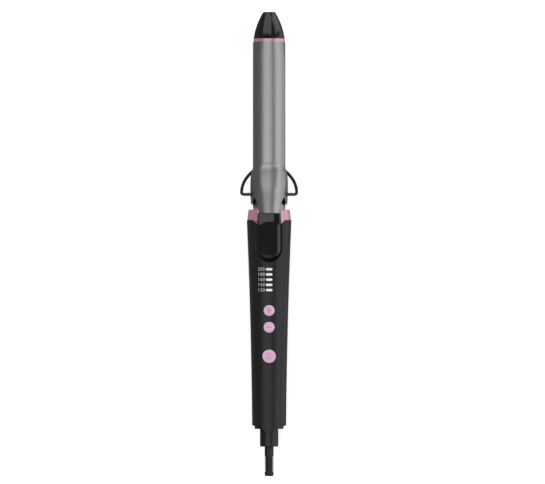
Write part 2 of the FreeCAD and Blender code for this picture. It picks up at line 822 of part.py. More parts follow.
def recess_solid(wall):
    """The space cleared for the lever, grown by a wall thickness for the tub around it."""
    half_width = size("recess_half_width") + wall
    start = size("collar_start") - 4
    end, foot = size("recess_end") + wall, size("recess_slope_foot") + wall
    front_floor, back_floor = size("recess_front_floor") - wall, size("recess_back_floor") - wall
    low, lip, top = 2.0, 16.0, 26.0
    rise = (end - foot) / (lip - back_floor)
    wedge = Part.makeLoft([
        recess_section(low, foot - (back_floor - low) * rise, half_width, start),
        recess_section(top, end + (top - lip) * rise, half_width, start),
    ], True, True)
    under = [
        (start - 1, low - 1), (foot + 20, low - 1), (foot + 20, back_floor), (foot, back_floor),
        (size("collar_start"), front_floor), (start - 1, front_floor),
    ]
    floor = Part.Face(polygon([at(-20, station, height) for station, height in under])).extrude(V(40, 0, 0))
    return wedge.cut(floor)


def lens_prism(gap):
    half = size("lens_length") / 2 + gap
    station = size("lens_station")
    return block((-half, half), (station - 1.55 - gap, station + 1.55 + gap), (6.2, 20))


def bar_slot(number, gap):
    station = size("bar_station") + number * size("bar_pitch")
    return slot(station, size("bar_length") + 2 * gap, size("bar_width") + 2 * gap, 6.2, 20)


def fang_prism(gap):
    """Plan wedges beside the recess where the collar reaches back over the panel."""
    start, end = size("collar_end"), size("fang_end")
    inner = size("recess_half_width") - 0.3
    shapes = []
    for side in (-1, 1):
        near, far = side * inner, side * (12.4 + gap)
        points = [(near, start - 0.5), (far, start - 0.5), (far, start + gap), (near, end + gap)]
        shapes.append(plan_prism(points, 2, 25))
    return shapes[0].fuse(shapes[1])


def make_collar():
    start, end, fang_end = size("collar_start"), size("collar_end"), size("fang_end")
    front, back = size("collar_front_radius"), size("collar_back_radius")
    bore, chamfer = size("barrel_radius - barrel_wall"), 0.3
    inner_front, outer_front = at(bore, start, 0), at(front - chamfer, start, 0)
    outer_start, outer_end = at(front, start + chamfer, 0), at(back, end, 0)
    bulge, inner_end = at((front + back) / 2 + 0.1, (start + end) / 2, 0), at(bore, end, 0)
    profile = Part.Face(Part.Wire([
        Part.makeLine(inner_front, outer_front),
        Part.makeLine(outer_front, outer_start),
        Part.Arc(outer_start, bulge, outer_end).toShape(),
        Part.makeLine(outer_end, inner_end),
        Part.makeLine(inner_end, inner_front),
    ]))
    ring = profile.revolve(V(0, 0, 0), V(0, 1, 0), 360)
    sleeve = bar(back, end - 0.5, fang_end).cut(bar(back - 1.6, end - 1, fang_end + 1))
    extension = sleeve.common(fang_prism(0))
    shape = ring.fuse(extension).cut(recess_solid(0))
    shape = shape.cut(block((-30, 30), (100, 200), (-30, -size("axis_height"))))
    solid("collar", largest(shape.removeSplitter()))


def on_recess_rim(edge):
    """Whether an edge is where the recess breaks through the handle's surface."""
    middle = edge.valueAt((edge.FirstParameter + edge.LastParameter) / 2)
    station = -middle.y
    over_the_recess = (
        middle.z > 0
        and abs(middle.x) < size("recess_half_width") + 0.1
        and station < size("recess_end") + 0.1
    )
    at_the_surface = math.hypot(middle.x, middle.z) > handle_half_width(station) - 0.1
    return over_the_recess and at_the_surface and edge.BoundBox.YLength > 0.1


def make_front_shell():
    wall, seam = size("shell_wall"), size("seam_gap")
    start, end = size("collar_end"), size("tongue_end")
    outer, inner = handle_solid(0), handle_solid(wall)
    span = block((-30, 30), (start, end + 1), (-20, 25))
    tub = recess_solid(1.5).common(outer).common(block((-12, 12), (start, 200), (6, 25)))
    well_radius, well_floor = size("spring_radius") + 0.9, size("spring_bottom")
    well = post(well_radius + 1.3, size("spring_station"), (well_floor - 1.2, 12))
    skin = outer.cut(inner).common(panel_plan(0))
    bosses = post(3.1, size("front_screw"), (-8.5, 9.5)).fuse(post(3.1, size("rear_screw"), (-8.5, 12)))
    shape = skin.fuse([tub, well, bosses]).common(span).common(outer)
    shape = shape.cut(recess_solid(0))
    rim = [edge for edge in shape.Edges if on_recess_rim(edge)]
    shape = shape.makeFillet(size("recess_rim"), rim).cut(fang_prism(seam))
    shape = shape.cut(post(well_radius, size("spring_station"), (well_floor, 20)))
    for name, radius, crown in BUTTONS:
        station = size(f"{name}_station")
        shape = shape.cut(post(size(radius) + size("button_fit"), station, (0, 25)))
        shape = shape.cut(post(size(radius) + size("button_rim_gap"), station, (float(crown) - 1.15, 25)))
    for number in range(BARS):
        shape = shape.cut(bar_slot(number, LENS_FIT))
    shape = shape.cut(lens_prism(LENS_FIT))
    for screw in ("front_screw", "rear_screw"):
        shape = shape.cut(post(1.2, size(screw), (-9, 4)))
    solid("front_shell", largest(shape))


def make_rear_shell():
    wall = size("shell_wall")
    start, end = size("collar_end"), size("handle_end")
    outer, inner = handle_solid(0), handle_solid(wall)
    shape = outer.cut(inner).common(block((-30, 30), (start, end), (-30, 30)))
    shape = shape.cut(panel_plan(size("seam_gap")))
    foot = -size("axis_height")
    for screw in ("front_screw", "rear_screw"):
        shape = shape.fuse(post(4.2, size(screw), (foot + 0.5, -8.6)))
    shape = shape.cut(block((-30, 30), (100, 340), (-30, foot)))
    for screw in ("front_screw", "rear_screw"):
        station = size(screw)
        shape = shape.cut(post(1.7, station, (-20, 0)))
        shape = shape.cut(post(SCREW_HEAD_RADIUS + 0.5, station, (-20, foot + 3.4)))
    solid("rear_shell", largest(shape))


def make_shell_screws():
    foot = -size("axis_height")
    screws = []
    for screw in ("front_screw", "rear_screw"):
        station = size(screw)
        head = post(SCREW_HEAD_RADIUS, station, (foot + 1.5, foot + 3.4))
        slot_cut = block((-1.9, 1.9), (station - 0.35, station + 0.35), (foot, foot + 2.2))
        cross_cut = block((-0.35, 0.35), (station - 1.9, station + 1.9), (foot, foot + 2.2))
        shank = post(1.15, station, (foot + 3, 2))
        screws.append(head.fuse(shank).cut(slot_cut).cut(cross_cut))
    solid("shell_screws", Part.makeCompound(screws))


def make_end_cap():
    """The plug between the shells that the swivel turns in."""
    start, end = 314.5, size("handle_end") + 2.4
    body = handle_solid(size("shell_wall") + 0.05).common(block((-30, 30), (start, end), (-30, 30)))
    bore = bar(size("swivel_radius + running_gap"), start - 1, end + 1)
    solid("end_cap", body.cut(bore))


# ---------------------------------------------------------------- controls
def make_light_pieces():
    outer = handle_solid(0)
    bars = [bar_slot(number, 0).common(outer) for number in range(BARS)]
    solid("bar_light_pipes", Part.makeCompound([largest(piece) for piece in bars]))
    lens = lens_prism(0).cut(recess_solid(-0.02)).common(outer)
    solid("pilot_lens", largest(lens))


def button_mark(body, name, top):
    """The sign sunk into the button's top."""
    marks = new_sketch(body, "XY_Plane", f"{top} - mark_depth")
    if name == "plus":
        arm, half = 2.1, 0.32
        corners = [(half, arm), (half, half), (arm, half), (arm, -half), (half, -half), (half, -arm)]
        corners += [(-x, y) for x, y in reversed(corners)]
        draw_outline(marks, [(str(x), str(y)) for x, y in corners])
    elif name == "minus":
        draw_box(marks, ("-2.1", "-0.32"), ("2.1", "0.32"))
    else:
        draw_circle(marks, "0", "0", "2.5")
        draw_circle(marks, "0", "0", "1.9")
        draw_box(marks, ("-0.3", "-1.2"), ("0.3", "1.2"))
    pocket(body, marks, "2", reverse=True)


def make_button(name, radius, crown):
    """A domed cap with a flange under the panel, and the switch plunger that it presses."""
    station = f"{name}_station"
    top, rim, stem, stem_foot = f"{crown} + 0.35", f"{crown} - 0.45", "1.6", "9.0"
    flange, flange_top, flange_foot = f"{radius} + 0.8", f"{crown} - 4.3", f"{crown} - 5.1"
    button = new_body(f"{name}_button")
    profile = new_sketch(button, "XZ_Plane")
    draw_outline(
        profile,
        [
            ("0", stem_foot), (stem, stem_foot), (stem, flange_foot), (flange, flange_foot),
            (flange, flange_top), (radius, flange_top), (radius, rim), ("0", top),
        ],
        arcs={6: (f"{radius} * 3.4", -1)},
    )
    revolve(button, profile)
    button_mark(button, name, top)
    button.Placement.Base = button.Placement.Base + at(0, size(station), 0)
    button.setExpression("Placement.Base.y", bound(f"overall_length / 2 - {station}"))
    plunger = new_body(f"{name}_plunger")
    pin = new_sketch(plunger, "XY_Plane", "7")
    draw_circle(pin, "0", f"-{station}", "1.5")
    pad(plunger, pin, f"{stem_foot} - 7")


def make_board():
    board = new_body("control_board")
    plate = new_sketch(board, "XY_Plane", "board_bottom")
    draw_box(plate, ("-board_half_width", "-board_end"), ("board_half_width", "-board_start"))
    pad(board, plate, "board_top - board_bottom")
    switches = []
    top = size("board_top")
    for name, _, _ in BUTTONS:
        station = size(f"{name}_station")
        case = block((-3, 3), (station - 3, station + 3), (top, 7.7))
        switches.append(case.cut(post(1.6, station, (6.0, 9))))
    solid("tact_switches", Part.makeCompound(switches))
    lamp_stations = [size("bar_station") + size("bar_pitch") * number for number in range(BARS)]
    lamp_stations.append(size("lens_station"))
    leds = [block((-1.6, 1.6), (station - 0.7, station + 0.7), (top, 5.9)) for station in lamp_stations]
    solid("indicator_leds", Part.makeCompound(leds))
    solid("control_chip", block((-3.9, 3.9), (217, 222), (top, top + 1.6)))
    under = size("board_bottom")
    solid("dropper_capacitor", block((-4, 4), (214, 227), (under - 11, under)))
    solid("triac", block((-5, 5), (252, 267), (under - 4.5, under)))


# ---------------------------------------------------------------- cord exit
def make_cord_exit():
    bore, spindle, disc = "cord_bore_radius + 0.2", "3.2", "9"
    swivel = turned(
        "swivel_body",
        [
            (bore, "300"), (spindle, "300"), (spindle, "309"), (disc, "309"), (disc, "314.3"),
            ("swivel_radius", "314.3"), ("swivel_radius", "swivel_end"), ("relief_radius", "swivel_end"),
            ("relief_radius", FLANGE_END), (FLANGE_RADIUS, FLANGE_END), (FLANGE_RADIUS, FLANGE_START),
            (bore, FLANGE_START),
        ],
    )
    rim = -size("swivel_end")

    def outer_rim(edge):
        box = edge.BoundBox
        return box.YLength < 0.01 and abs(box.YMin - rim) < 0.01 and box.XLength > 12

    round_edges(swivel, "0.6", outer_rim)
    inner = size(spindle)
    ring_stations = (301.5, 305.5)
    rings = [bar(inner + 0.7, start, start + 2).cut(bar(inner, start, start + 2)) for start in ring_stations]
    solid("slip_rings", Part.makeCompound(rings))
    springs = [block((-1.2, 1.2), (start + 0.5, start + 1.5), (4.0, 8.5)) for start in ring_stations]
    solid("contact_springs", Part.makeCompound(springs))
    make_strain_relief()


def make_strain_relief():
    """The ribbed boot that leaves the swivel, with the cord's bore through it."""
    relief = turned(
        "strain_relief",
        [
            ("cord_bore_radius", FLANGE_START), (FLANGE_RADIUS, FLANGE_START), (FLANGE_RADIUS, FLANGE_END),
            ("relief_radius", FLANGE_END),
            ("relief_radius", "overall_length - 2.2"), ("cord_bore_radius + 0.35", "overall_length"),
            ("cord_bore_radius", "overall_length"),
        ],
        arcs={4: ("2.4", 1)},
    )
    for number in range(RIB_GROOVES):
        station = f"first_groove + {number} * rib_pitch"
        groove_sketch = new_sketch(relief, "XY_Plane")
        low = ("relief_radius - groove_depth", f"-({station} + groove_width)")
        draw_box(groove_sketch, low, ("relief_radius + 1", f"-({station})"))
        groove = relief.newObject("PartDesign::Groove", "Groove")
        groove.Profile = groove_sketch
        groove.ReferenceAxis = (groove_sketch, ["V_Axis"])
        groove.Angle = 360
        doc.recompute()


# ---------------------------------------------------------------- build, check and write
make_tip()
make_barrel()
make_heater()
make_leads()
make_socket()
make_bracket()
make_hinge_rivets()
make_clamp()
make_lever()
make_clamp_spring()
make_stand()
make_collar()
make_front_shell()
make_rear_shell()
make_shell_screws()
make_end_cap()
make_light_pieces()
for button in BUTTONS:
    make_button(*button)
make_board()
make_cord_exit()
doc.recompute()

for item in doc.Objects:
    if "Invalid" in item.State or "Error" in item.State:
        raise RuntimeError(f"{item.Name} failed: {item.State}")
os.makedirs("parts", exist_ok=True)
for label, item in parts.items():
    if item.Shape.isNull() or not item.Shape.isValid():
        raise RuntimeError(f"{label} has no valid shape")
    item.Shape.exportStep(f"parts/{label}.step")
    print(label, len(item.Shape.Solids), round(item.Shape.Volume, 1))
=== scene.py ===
"""The curling iron's looks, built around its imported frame. Metres, in the frame of the CAD model."""
import json
import math

import bmesh
import bpy
from mathutils import Matrix, Vector


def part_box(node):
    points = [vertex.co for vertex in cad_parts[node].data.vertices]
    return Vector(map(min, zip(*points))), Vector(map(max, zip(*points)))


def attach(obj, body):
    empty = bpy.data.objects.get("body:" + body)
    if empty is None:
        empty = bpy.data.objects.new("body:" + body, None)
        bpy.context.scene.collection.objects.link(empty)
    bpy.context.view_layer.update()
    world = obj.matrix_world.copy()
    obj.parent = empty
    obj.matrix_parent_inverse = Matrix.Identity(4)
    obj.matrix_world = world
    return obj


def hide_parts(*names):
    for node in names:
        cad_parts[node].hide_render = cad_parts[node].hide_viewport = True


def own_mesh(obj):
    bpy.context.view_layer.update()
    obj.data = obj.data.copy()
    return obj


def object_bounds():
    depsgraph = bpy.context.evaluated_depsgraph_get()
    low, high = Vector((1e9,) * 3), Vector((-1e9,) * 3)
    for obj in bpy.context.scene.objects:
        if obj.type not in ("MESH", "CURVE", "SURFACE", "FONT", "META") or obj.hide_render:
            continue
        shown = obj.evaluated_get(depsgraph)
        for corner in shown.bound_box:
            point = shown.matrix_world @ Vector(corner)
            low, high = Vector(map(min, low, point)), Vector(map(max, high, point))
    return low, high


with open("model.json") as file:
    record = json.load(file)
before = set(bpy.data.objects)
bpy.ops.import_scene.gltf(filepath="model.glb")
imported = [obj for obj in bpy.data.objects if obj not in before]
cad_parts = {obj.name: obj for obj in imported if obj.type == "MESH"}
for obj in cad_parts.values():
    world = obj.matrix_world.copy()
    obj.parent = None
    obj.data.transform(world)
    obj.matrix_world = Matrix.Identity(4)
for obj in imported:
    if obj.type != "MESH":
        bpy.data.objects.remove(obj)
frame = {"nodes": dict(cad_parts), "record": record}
cad_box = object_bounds()
nodes = frame["nodes"]
MM = 0.001

# ---------------------------------------------------------------- places, read from the frame
TIP_Y = cad_box[1][1]
tube_low, tube_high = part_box("barrel_tube")
AXIS_Z = (tube_low.z + tube_high.z) / 2


def y_at(station):
    """The Y of a distance in millimetres from the tip's end."""
    return TIP_Y - station * MM


# ---------------------------------------------------------------- material helpers
# between these two values lies most of a noise
NOISE_LOW, NOISE_HIGH = 0.3, 0.7


def srgb(r, g, b):
    """A colour given in 0-255 display values, as the linear values a shader takes."""
    def linear(value):
        value /= 255
        return value / 12.92 if value <= 0.04045 else ((value + 0.055) / 1.055) ** 2.4
    return (linear(r), linear(g), linear(b), 1.0)


class Surface:
    """A node material, with the object's own coordinates as the only mapping."""

    def __init__(self, name):
        self.material = bpy.data.materials.new(name)
        self.material.use_nodes = True
        self.tree = self.material.node_tree
        self.shader = self.tree.nodes["Principled BSDF"]
        self.coords = self.add("ShaderNodeTexCoord").outputs["Object"]

    def add(self, kind, **values):
        node = self.tree.nodes.new(kind)
        for key, value in values.items():
            if hasattr(node, key):
                setattr(node, key, value)
            else:
                node.inputs[key.replace("_", " ")].default_value = value
        return node

    def link(self, source, target):
        self.tree.links.new(source, target)

    def set(self, **values):
        for key, value in values.items():
            self.shader.inputs[key.replace("_", " ")].default_value = value

    def noise(self, scale, detail, stretch=(1, 1, 1)):
        mapping = self.add("ShaderNodeMapping")
        mapping.inputs["Scale"].default_value = stretch
        self.link(self.coords, mapping.inputs["Vector"])
        noise = self.add("ShaderNodeTexNoise", Scale=scale, Detail=detail, Roughness=0.55)
        self.link(mapping.outputs["Vector"], noise.inputs["Vector"])
        return noise.outputs["Fac"]

    def spread(self, source, low_value, high_value):
        """A noise's usual range mapped onto other values."""
        limits = {"From Min": NOISE_LOW, "From Max": NOISE_HIGH, "To Min": low_value, "To Max": high_value}
        node = self.add("ShaderNodeMapRange")
        for name, value in limits.items():
            node.inputs[name].default_value = value
        self.link(source, node.inputs["Value"])
        return node.outputs["Result"]

    def tint(self, source, first, second):
        """Base colour that runs between two colours with a noise."""
        ramp = self.add("ShaderNodeValToRGB")
        stops = ((first, NOISE_LOW), (second, NOISE_HIGH))
        for element, (colour, position) in zip(ramp.color_ramp.elements, stops):
            element.color, element.position = colour, position
        self.link(source, ramp.inputs["Fac"])
        self.link(ramp.outputs["Color"], self.shader.inputs["Base Color"])

    def vary_roughness(self, source, smooth, rough):
        self.link(self.spread(source, smooth, rough), self.shader.inputs["Roughness"])

    def bump(self, source, distance):
        bump = self.add("ShaderNodeBump", Strength=1.0, Distance=distance)
        self.link(source, bump.inputs["Height"])
        self.link(bump.outputs["Normal"], self.shader.inputs["Normal"])


def shade(colour, factor):
    """A lighter or darker version of a colour."""
    return tuple(min(1.0, channel * factor) for channel in colour[:3]) + (1.0,)


def moulded(name, colour, roughness, grain=0.00002, specular=0.5, coat=0.0, coat_ior=1.5):
    """Moulded plastic: fine spark-eroded grain, slight colour and gloss variation."""
    surface = Surface(name)
    broad = surface.noise(55, 3)
    fine = surface.noise(2600, 2)
    surface.tint(broad, shade(colour, 0.93), shade(colour, 1.06))
    surface.vary_roughness(broad, roughness * 0.9, roughness * 1.12)
    surface.bump(fine, grain)
    surface.set(Specular_IOR_Level=specular, Coat_Weight=coat, Coat_Roughness=0.2, Coat_IOR=coat_ior)
    return surface.material


def coated_metal(name, colour, roughness, metallic):
    """Ceramic-coated metal: a fine pearly grain under a satin surface."""
    surface = Surface(name)
    flakes = surface.noise(5200, 2)
    broad = surface.noise(26, 4, stretch=(1, 0.35, 1))
    surface.tint(flakes, shade(colour, 0.88), shade(colour, 1.13))
    surface.vary_roughness(broad, roughness * 0.93, roughness * 1.08)
    surface.bump(flakes, 0.000012)
    surface.set(Metallic=metallic, Specular_IOR_Level=0.5)
    return surface.material


def bare_metal(name, colour, roughness, brushed=(1, 1, 1)):
    """Uncoated metal with fine streaks."""
    surface = Surface(name)
    streaks = surface.noise(900, 3, stretch=brushed)
    surface.tint(streaks, shade(colour, 0.85), shade(colour, 1.1))
    surface.vary_roughness(streaks, roughness * 0.8, roughness * 1.25)
    surface.bump(streaks, 0.00001)
    surface.set(Metallic=1.0)
    return surface.material


def glowing(name, colour, strength, roughness=0.3):
    """A milky plastic that gives off a little light."""
    surface = Surface(name)
    cloud = surface.noise(700, 2)
    surface.tint(cloud, shade(colour, 0.97), colour)
    surface.vary_roughness(cloud, roughness * 0.9, roughness * 1.1)
    surface.set(Emission_Color=colour, Emission_Strength=strength)
    return surface.material


PINK = (0.47, 0.192, 0.285, 1.0)
MATERIALS = {
    "barrel_coating": coated_metal("barrel_coating", srgb(150, 151, 150), 0.34, 0.92),
    "pink_plastic": moulded("pink_plastic", PINK, 0.28, coat=1.0, coat_ior=2.0),
    "tip_plastic": moulded("tip_plastic", srgb(20, 20, 21), 0.09, grain=0.000002),
    "lever_plastic": moulded("lever_plastic", srgb(16, 16, 17), 0.05, grain=0.000001),
    "handle_plastic": moulded("handle_plastic", srgb(32, 32, 33), 0.34, grain=0.000012, specular=0.26),
    "cap_plastic": moulded("cap_plastic", srgb(30, 30, 31), 0.34, grain=0.000014, specular=0.3),
    "boot_rubber": moulded("boot_rubber", srgb(24, 24, 24), 0.45, grain=0.00002, specular=0.35),
    "black_wire": moulded("black_wire", srgb(26, 26, 26), 0.3, grain=0.00001),
    "black_steel": moulded("black_steel", srgb(22, 22, 22), 0.4),
    "phenolic": moulded("phenolic", srgb(70, 52, 42), 0.5),
    "switch_plastic": moulded("switch_plastic", srgb(34, 34, 36), 0.5),
    "chip_plastic": moulded("chip_plastic", srgb(28, 28, 30), 0.55),
    "capacitor_case": moulded("capacitor_case", srgb(206, 170, 60), 0.3),
    "board": moulded("board", srgb(24, 96, 54), 0.35),
    "film": moulded("film", srgb(198, 120, 30), 0.2),
    "lead_sleeve": moulded("lead_sleeve", srgb(232, 230, 224), 0.5),
    "glass_bead": moulded("glass_bead", srgb(150, 60, 34), 0.25),
    "heater_ceramic": moulded("heater_ceramic", srgb(190, 180, 160), 0.7),
    "lamp_lens": moulded("lamp_lens", srgb(44, 24, 30), 0.12, grain=0.000001),
    "light_diffuser": glowing("light_diffuser", srgb(238, 238, 238), 0.12),
    "steel": bare_metal("steel", srgb(190, 190, 194), 0.3),
    "spring_steel": bare_metal("spring_steel", srgb(176, 176, 180), 0.28),
    "aluminium": bare_metal("aluminium", srgb(210, 210, 214), 0.35, brushed=(1, 0.05, 1)),
    "tinned": bare_metal("tinned", srgb(214, 214, 210), 0.3),
    "brass": bare_metal("brass", srgb(204, 168, 96), 0.3),
}
BUTTON_PINK = moulded("button_pink", (0.80, 0.47, 0.67, 1.0), 0.3, coat=0.6)
# a darker pink for the floors of the button signs: painted shade standing in for the shade in the engraved
# grooves
GROOVE_SHADE_PINK = moulded("groove_shade_pink", (0.64, 0.38, 0.54, 1.0), 0.5)
INK = moulded("print_ink", srgb(222, 222, 222), 0.45)
BUTTONS = ("plus", "minus", "power")
SLOT_OF = {subpart["node"]: subpart["material_slot"] for subpart in frame["record"]["subparts"]}


def dress(node, material):
    """Every material slot of a CAD node takes one material."""
    if not node.data.materials:
        node.data.materials.append(None)
    for index in range(len(node.data.materials)):
        node.data.materials[index] = material


for node_name, slot_name in SLOT_OF.items():
    dress(nodes[node_name], MATERIALS[slot_name])
for button in BUTTONS:
    dress(nodes[f"{button}_button"], BUTTON_PINK)


# ---------------------------------------------------------------- sculpted thumb lever
def spaced(count, ends):
    """Values from 0 to 1 that lie closer together near both ends."""
    values = []
    for number in range(count + 1):
        u = number / count
        values.append((1 - ends) * u + ends * (1 - math.cos(math.pi * u)) / 2)
    return values


class Lever:
    """The lever's outline and heights in millimetres: x across, s from the tip, z above the axis."""

    low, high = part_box("thumb_lever")
    start, end = (TIP_Y - high.y) / MM, (TIP_Y - low.y) / MM
    half = (high.x - low.x) / 2 / MM
    front_round, end_round, edge_round = 2.2, 6.4, 0.8
    plateau, fall, front_crown = 21.45, 0.015, 50
    tab_start, tab_slope, tab_crown, tab_drop = 160.9, math.tan(math.radians(7.7)), 36, 0.1
    crease_blend = 0.04
    floor_start, floor_rise, thinnest = 18.6, 4.6, 1.5

    @classmethod
    def half_width(cls, s):
        """Half the lever's width, with both ends' corners rounded."""
        for corner, distance in ((cls.front_round, s - cls.start), (cls.end_round, cls.end - s)):
            if distance < corner:
                return cls.half - corner + math.sqrt(max(corner**2 - (corner - distance) ** 2, 0))
        return cls.half

    @classmethod
    def inset(cls, x, s):
        """Distance from a point to the outline."""
        along = min(s - cls.start, cls.end - s)
        across = cls.half - abs(x)
        corner = cls.front_round if s - cls.start < cls.end - s else cls.end_round
        if along < corner and across < corner:
            return max(corner - math.hypot(corner - along, corner - across), 0)
        return max(min(along, across), 0)

    @classmethod
    def crest(cls, x, s):
        """A flat front that meets the rising thumb tab in a crease."""
        front = cls.plateau - cls.fall * (s - cls.start) - x * x / cls.front_crown
        tab = cls.plateau - cls.tab_drop + cls.tab_slope * (s - cls.tab_start) - x * x / cls.tab_crown
        return (front + tab + math.sqrt((front - tab) ** 2 + cls.crease_blend**2)) / 2

    @classmethod
    def top(cls, x, s):
        """The upper surface, rounded over at the outline."""
        depth = max(cls.edge_round - cls.inset(x, s), 0)
        return cls.crest(x, s) - (cls.edge_round - math.sqrt(max(cls.edge_round**2 - depth**2, 0)))

    @classmethod
    def bottom(cls, x, s):
        """The underside, which rises to the thumb end."""
        straight = cls.floor_start + cls.floor_rise * (s - cls.start + 1) / (cls.end - cls.start + 2)
        return min(straight, cls.crest(x, s) - cls.thinnest)


def new_piece(name, bm, material, body):
    """An object from a bmesh, smooth shaded, that rides a body."""
    mesh = bpy.data.meshes.new(name)
    bmesh.ops.recalc_face_normals(bm, faces=bm.faces)
    bm.to_mesh(mesh)
    bm.free()
    for polygon in mesh.polygons:
        polygon.use_smooth = True
    mesh.materials.append(material)
    piece = bpy.data.objects.new(name, mesh)
    bpy.context.scene.collection.objects.link(piece)
    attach(piece, body)
    return piece


def neck_cutter():
    """A block whose round top clears the clamp's neck."""
    half, steps = 7.7, 16
    foot, crown, neck_half_width = 10.0, 20.9, 13.6
    block_start, block_end = Lever.start - 2, 167.4
    mesh = bpy.data.meshes.new("neck_cutter")
    bm = bmesh.new()
    section = [(-half, foot)]
    for number in range(steps + 1):
        x = half * (2 * number / steps - 1)
        section.append((x, crown * math.sqrt(1 - (x / neck_half_width) ** 2)))
    section.append((half, foot))
    ends = [
        [bm.verts.new((x * MM, y_at(s), AXIS_Z + z * MM)) for x, z in section]
        for s in (block_start, block_end)
    ]
    bm.faces.new(ends[0])
    bm.faces.new(reversed(ends[1]))
    for number in range(len(section)):
        following = (number + 1) % len(section)
        bm.faces.new((ends[0][following], ends[0][number], ends[1][number], ends[1][following]))
    bmesh.ops.recalc_face_normals(bm, faces=bm.faces)
    bm.to_mesh(mesh)
    bm.free()
    cutter = bpy.data.objects.new("neck_cutter", mesh)
    bpy.context.scene.collection.objects.link(cutter)
    return cutter


def apply_modifiers(piece):
    """The piece keeps its shape with its modifiers, as plain mesh."""
    graph = bpy.context.evaluated_depsgraph_get()
    mesh = bpy.data.meshes.new_from_object(piece.evaluated_get(graph))
    piece.modifiers.clear()
    piece.data = mesh


def make_lever():
    """The thumb lever: two grids of points joined by walls, with a channel for the neck."""
    rows, columns, walls, crowding = 130, 72, 8, 0.7
    bm = bmesh.new()
    stations = [Lever.start + (Lever.end - Lever.start) * u for u in spaced(rows, crowding)]
    fractions = [2 * u - 1 for u in spaced(columns, crowding)]

    def vertex(x, s, z):
        return bm.verts.new((x * MM, y_at(s), AXIS_Z + z * MM))

    def sheet(height, narrower=1.0, shorter=0.0):
        """A grid of points; the underside is drawn in a little, so that the walls have draft."""
        grid = []
        for s in stations:
            half = Lever.half_width(s)
            pulled_in = s - shorter * (s - Lever.start) / (Lever.end - Lever.start)
            grid.append([vertex(u * half * narrower, pulled_in, height(u * half, s)) for u in fractions])
        return grid

    above, below = sheet(Lever.top), sheet(Lever.bottom, narrower=0.93, shorter=1.0)
    for grid in (above, below):
        for first, second in zip(grid, grid[1:]):
            for number in range(columns):
                bm.faces.new((first[number], first[number + 1], second[number + 1], second[number]))

    def rim(grid):
        """The points round a grid's edge, in order."""
        return grid[0] + [row[-1] for row in grid[1:]] + grid[-1][-2::-1] + [row[0] for row in grid[-2:0:-1]]

    rings = [rim(above)]
    for number in range(1, walls):
        share = number / walls
        rings.append([bm.verts.new(a.co.lerp(b.co, share)) for a, b in zip(rim(above), rim(below))])
    rings.append(rim(below))
    for first, second in zip(rings, rings[1:]):
        for number in range(len(first)):
            after = (number + 1) % len(first)
            bm.faces.new((first[number], first[after], second[after], second[number]))
    lever = new_piece("sculpted_lever", bm, MATERIALS["lever_plastic"], "clamp")
    cutter = neck_cutter()
    cut = lever.modifiers.new("neck_channel", "BOOLEAN")
    cut.operation, cut.solver, cut.object = "DIFFERENCE", "EXACT", cutter
    bpy.context.view_layer.update()
    apply_modifiers(lever)
    bpy.data.objects.remove(cutter)
    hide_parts("thumb_lever")


make_lever()


# ---------------------------------------------------------------- printed numbers
NUMBERS = ("200", "180", "160", "140", "120")
NUMBER_HEIGHT, NUMBER_GAP = 2.5 * MM, 0.8 * MM
# a font's size is its line, which is this much taller than its digits
LINE_HEIGHT = 1.42
THINNER, LETTER_SPACE, LETTER_WIDTH = -0.008, 1.1, 0.96
INK_LIFT, INK_THICKNESS = 0.03 * MM, 0.04 * MM
BAR_PITCH, BAR_WIDTH = 4.0 * MM, 1.8 * MM


def height_under(x, y):
    """The height of the handle's surface at a place."""
    heights = []
    for name in ("front_shell", "rear_shell"):
        hit, place, _, _ = nodes[name].ray_cast(Vector((x, y, 0.2)), Vector((0, 0, -1)))
        if hit:
            heights.append(place.z)
    return max(heights)


def printed_number(text, right_x, centre_y):
    """A number printed on the panel, its right edge at right_x."""
    font = bpy.data.curves.new(f"print_{text}", "FONT")
    font.body = text
    font.size = NUMBER_HEIGHT * LINE_HEIGHT
    font.offset = THINNER * NUMBER_HEIGHT
    font.space_character = LETTER_SPACE
    font.align_x = "RIGHT"
    font.align_y = "CENTER"
    source = bpy.data.objects.new(f"print_{text}_curve", font)
    bpy.context.scene.collection.objects.link(source)
    bpy.context.view_layer.update()
    graph = bpy.context.evaluated_depsgraph_get()
    mesh = bpy.data.meshes.new_from_object(source.evaluated_get(graph))
    bpy.data.objects.remove(source)
    for vertex in mesh.vertices:
        x, y = vertex.co.x * LETTER_WIDTH + right_x, vertex.co.y + centre_y
        vertex.co = (x, y, height_under(x, y) + INK_LIFT)
    piece = bpy.data.objects.new(f"printed_{text}", mesh)
    bpy.context.scene.collection.objects.link(piece)
    thicken(piece, "ink", INK_THICKNESS)
    mesh.materials.clear()
    mesh.materials.append(INK)
    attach(piece, "handle")


# ---------------------------------------------------------------- signs on the buttons
# how deep the sign's floor, a darker pink that is painted shade for the engraved grooves, lies under a
# button's top, and half the width of a stroke
SIGN_DEPTH, SIGN_HALF = 0.41 * MM, 0.32 * MM
SIGN_ARM, GROOVE_SHADE_THICKNESS = 2.1 * MM, 0.02 * MM
RING_INNER, RING_OUTER, RING_STEPS = 1.9 * MM, 2.5 * MM, 48
STROKE_HALF_WIDTH, STROKE_HALF_LENGTH = 0.3 * MM, 1.2 * MM


def thicken(piece, name, thickness):
    solid = piece.modifiers.new(name, "SOLIDIFY")
    solid.thickness = thickness
    solid.offset = 1


def flat_shape(bm, points):
    bm.faces.new([bm.verts.new((x, y, 0)) for x, y in points])


def flat_bar(bm, x_range, y_range):
    (left, right), (near, far) = x_range, y_range
    flat_shape(bm, [(left, near), (right, near), (right, far), (left, far)])


def on_circle(radius, step):
    angle = 2 * math.pi * step / RING_STEPS
    return radius * math.cos(angle), radius * math.sin(angle)


